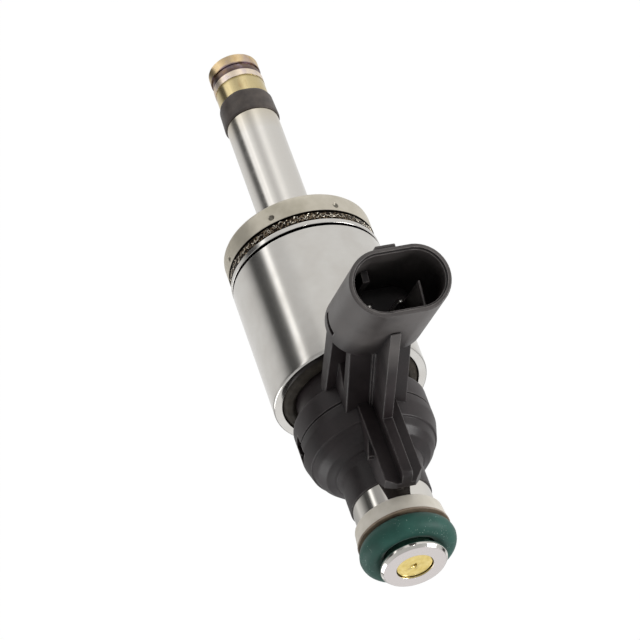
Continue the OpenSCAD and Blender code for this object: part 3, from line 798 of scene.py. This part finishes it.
rim_r = 4.42
sleeve_seat_r, sleeve_seat_z = 2.1, 30.2
tube = turned([
    (sleeve_seat_r, inlet_low, 0), (inlet_core_r, inlet_low, 0), (inlet_core_r, neck_top, 0),
    (inlet_r, neck_top, 0), (inlet_r, support_low, 0.15), (oring_seat_r, support_low, 0),
    (oring_seat_r, 53.0, 0), (rim_r, 53.35, 0.12), (rim_r, 53.85, 0.05), (rim_r - 0.3, inlet_top, 0.05),
    (filter_r, inlet_top, 0.04), (filter_r, sleeve_seat_z, 0), (sleeve_seat_r, sleeve_seat_z, 0)], 160)
finished(tube, "inlet_tube_bright", tube_steel, "housing", ["inlet_tube"])

support = turned([
    (oring_seat_r, support_low, 0), (5.82, support_low, 0.1), (support_r, support_top, 0.08),
    (oring_seat_r, support_top, 0)], 160)
finished(support, "inlet_support_ring", ring_plastic, "housing", ["support_ring"])

washer = turned([
    (oring_seat_r, washer_low, 0), (washer_r, washer_low, 0.06), (washer_r, washer_top, 0.06),
    (oring_seat_r, washer_top, 0)], 160)
finished(washer, "inlet_backup_washer", washer_plastic, "housing", ["backup_washer"])

# A round section a little flattened, with the mould's parting line at its outer and inner edges.
section_r = (oring_top - oring_low) / 2
section_steps = 40
section = []
for i in range(section_steps):
    a = math.tau * i / section_steps
    parting = 0.015 if i in (0, section_steps // 2) else 0
    out = (section_r - 0.02 + parting) * math.cos(a)
    section.append((oring_r - section_r + out, oring_low + section_r + section_r * math.sin(a), 0))
o_ring = turned(section, 160)
finished(o_ring, "inlet_seal_ring", rubber, "housing", ["inlet_oring"])

cap_r, cap_z = 2.33, 53.2
cap = turned([
    (0.32, cap_z, 0), (0.32, 53.85, 0), (0.42, 53.98, 0), (0.62, 53.91, 0), (1.2, 53.93, 0),
    (cap_r, filter_top, 0.06), (cap_r, cap_z, 0)], 96)
for v in cap.verts:
    r = math.hypot(v.co.x, v.co.y) / mm
    if r < 0.7:
        around = math.atan2(v.co.y, v.co.x)
        swell = 1 + 0.16 * math.sin(3 * around + 0.7) + 0.1 * math.sin(5 * around)
        v.co.x, v.co.y = v.co.x * swell, v.co.y * swell
        if r > 0.38 and v.co.z > 53.9 * mm:
            v.co.z += 0.05 * mm * math.sin(4 * around)


def filter_ring(low, high):
    """One of the two brass rings that carry the struts."""
    return turned([(1.5, low, 0), (filter_r, low, 0.05), (filter_r, high, 0.05), (1.5, high, 0)], 64)


struts = []
for i in range(4):
    turn = Matrix.Rotation(math.pi / 2 * i, 4, "Z")
    struts.append(block((1.5, -0.35, filter_low + 0.2), (2.4, 0.35, 52.8), 0.06, turn))
plug = joined(cap, filter_ring(filter_low, filter_low + 1), filter_ring(52.4, 53.3), *struts)
finished(plug, "inlet_filter_plug", brass, "housing", ["inlet_filter"])


# ---------------------------------------------------------------- stage

def staged(name, mesh, material, only_reflected=False):
    """Puts a floor or backdrop on the stage. One that is only reflected lights nothing by itself."""
    o = bpy.data.objects.new(name, mesh)
    bpy.context.scene.collection.objects.link(o)
    mesh.materials.append(material)
    if only_reflected:
        o.visible_camera = o.visible_shadow = o.visible_diffuse = False


def glow(name, colour, strength, base="#000000"):
    """A matt surface that shines by itself."""
    material = bpy.data.materials.new(name)
    material.use_nodes = True
    shader = material.node_tree.nodes["Principled BSDF"]
    shader.inputs["Base Color"].default_value = linear(base)
    shader.inputs["Roughness"].default_value = 1
    shader.inputs["Specular IOR Level"].default_value = 0
    shader.inputs["Emission Color"].default_value = linear(colour)
    shader.inputs["Emission Strength"].default_value = strength
    return material


floor_z = tip_z - 0.7
ground = bmesh.new()
bmesh.ops.create_grid(ground, x_segments=1, y_segments=1, size=3,
                      matrix=Matrix.Translation((0, 0, floor_z * mm)))
floor_mesh = bpy.data.meshes.new("floor")
ground.to_mesh(floor_mesh)
ground.free()
staged("floor", floor_mesh, glow("pale_floor", "#ffffff", 1.0, "#101010"))


def tent_ring(name, inner, outer, stops):
    """A ring on the floor, in millimetres, that shows only in reflections: white, with a dark gap and a lamp
    beside it, so that turned steel gets its long stripes. Stops are azimuths in degrees and brightness."""
    bm = bmesh.new()
    place = Matrix.Translation((0, 0, (floor_z + 0.3) * mm))
    for radius in (inner, outer):
        bmesh.ops.create_circle(bm, radius=radius * mm, segments=96, matrix=place)
    bmesh.ops.bridge_loops(bm, edges=bm.edges[:])
    mesh = bpy.data.meshes.new(name)
    bm.to_mesh(mesh)
    bm.free()
    material = glow(name, "#ffffff", 1.0)
    tree = material.node_tree
    where = add(tree, "ShaderNodeTexCoord").outputs["Object"]
    turn = add(tree, "ShaderNodeTexGradient", {"Vector": where}, gradient_type="RADIAL").outputs["Fac"]
    ramp = add(tree, "ShaderNodeValToRGB", {"Fac": turn})
    for i, (azimuth, level) in enumerate(stops):
        at = 0.5 + azimuth / 360
        stop = ramp.color_ramp.elements[i] if i < 2 else ramp.color_ramp.elements.new(at)
        stop.position, stop.color = at, (level, level * 0.993, level * 0.982, 1)
    tree.links.new(ramp.outputs["Color"], tree.nodes["Principled BSDF"].inputs["Emission Color"])
    staged(name, mesh, material, True)


tent_ring("tent_near", 2, 48, [
    (-180, 0.88), (-140, 0.93), (-118, 1.0), (-104, 1.25), (-94, 1.3), (-84, 0.98), (-74, 0.78),
    (-66, 0.78), (-54, 1.0), (-45, 1.2), (-39, 1.65), (-32, 1.35), (-22, 1.45), (-17, 0.7),
    (-13, 0.16), (0, 0.12), (8, 0.22), (16, 0.5), (25, 0.76), (40, 0.87), (180, 0.88)])
tent_ring("tent_middle", 48, 90, [
    (-180, 0.9), (-100, 0.92), (-66, 0.9), (-54, 0.78), (-40, 0.75), (-35, 0.85), (-31, 1.9),
    (-27, 1.6), (-23, 0.5), (-19, 0.14), (-8, 0.08), (-1, 0.12), (5, 0.42), (12, 0.66), (20, 0.8),
    (33, 0.86), (180, 0.9)])
tent_ring("tent_far", 90, 500, [
    (-180, 0.9), (-85, 0.9), (-66, 0.8), (-56, 0.42), (-38, 0.38), (-33, 0.7), (-29, 1.6),
    (-25, 1.5), (-21, 0.4), (-17, 0.1), (-6, 0.07), (1, 0.18), (9, 0.32), (18, 0.55), (34, 0.78),
    (46, 0.55), (78, 0.42), (110, 0.7), (180, 0.9)])

# The room: white all round, a little dimmer in front, with a brighter sheet behind and a grey band just above
# the horizon that gives polished edges their dark lines.
world = bpy.data.worlds.new("studio")
bpy.context.scene.world = world
world.use_nodes = True
sky = world.node_tree
toward = add(sky, "ShaderNodeTexCoord").outputs["Generated"]
front = add(sky, "ShaderNodeVectorMath", {0: toward}, operation="DOT_PRODUCT")
front.inputs[1].default_value = (0.25, -0.82, 0.52)
sheet_behind = add(sky, "ShaderNodeVectorMath", {0: toward}, operation="DOT_PRODUCT")
sheet_behind.inputs[1].default_value = (-0.237, 0.777, 0.584)
room_light = times(sky, spread(sky, front.outputs["Value"], 0.3, 0.85, 1, 0.75),
                   spread(sky, sheet_behind.outputs["Value"], 0.8, 0.93, 0.72, 1.05))
rise = height_of(sky, toward)
band = mixed(sky, spread(sky, rise, 0.06, 0.09, 0, 1), "#ffffff", "#505050")
horizon = mixed(sky, spread(sky, rise, 0.19, 0.26, 0, 1), band, "#ffffff")
sky.links.new(horizon, sky.nodes["Background"].inputs["Color"])
sky.links.new(room_light, sky.nodes["Background"].inputs["Strength"])


def area_light(name, azimuth, elevation, distance, size, watts):
    """A round soft lamp that faces the origin, placed by angles in degrees and a distance in metres."""
    lamp = bpy.data.lights.new(name, "AREA")
    lamp.shape, lamp.size, lamp.energy = "DISK", size, watts
    o = bpy.data.objects.new(name, lamp)
    bpy.context.scene.collection.objects.link(o)
    a, e = math.radians(azimuth), math.radians(elevation)
    o.location = Vector((math.cos(a) * math.cos(e), math.sin(a) * math.cos(e), math.sin(e))) * distance
    o.rotation_mode = "QUATERNION"
    o.rotation_quaternion = o.location.to_track_quat("Z", "Y")


area_light("key", 42, 20, 0.8, 0.5, 1.9)
area_light("fill", 205, 30, 0.8, 0.4, 4.5)
area_light("socket", 268, 20, 0.8, 0.05, 0.22)

camera_data = bpy.data.cameras.new("camera")
camera_data.lens = 225
camera_data.sensor_width = 36
camera_data.clip_end = 20
camera = bpy.data.objects.new("camera", camera_data)
bpy.context.scene.collection.objects.link(camera)
azimuth, elevation, roll = (math.radians(angle) for angle in (-73, 35.7, 159.846))
aim = Matrix.Translation((-1.322 * mm, 6.1862 * mm, 8.7715 * mm))
swing = Matrix.Rotation(azimuth + math.pi / 2, 4, "Z") @ Matrix.Rotation(math.pi / 2 - elevation, 4, "X")
camera.matrix_world = aim @ swing @ Matrix.Translation((0, 0, 533.475 * mm)) @ Matrix.Rotation(roll, 4, "Z")
bpy.context.scene.camera = camera
bpy.context.scene.view_settings.view_transform = "Standard"
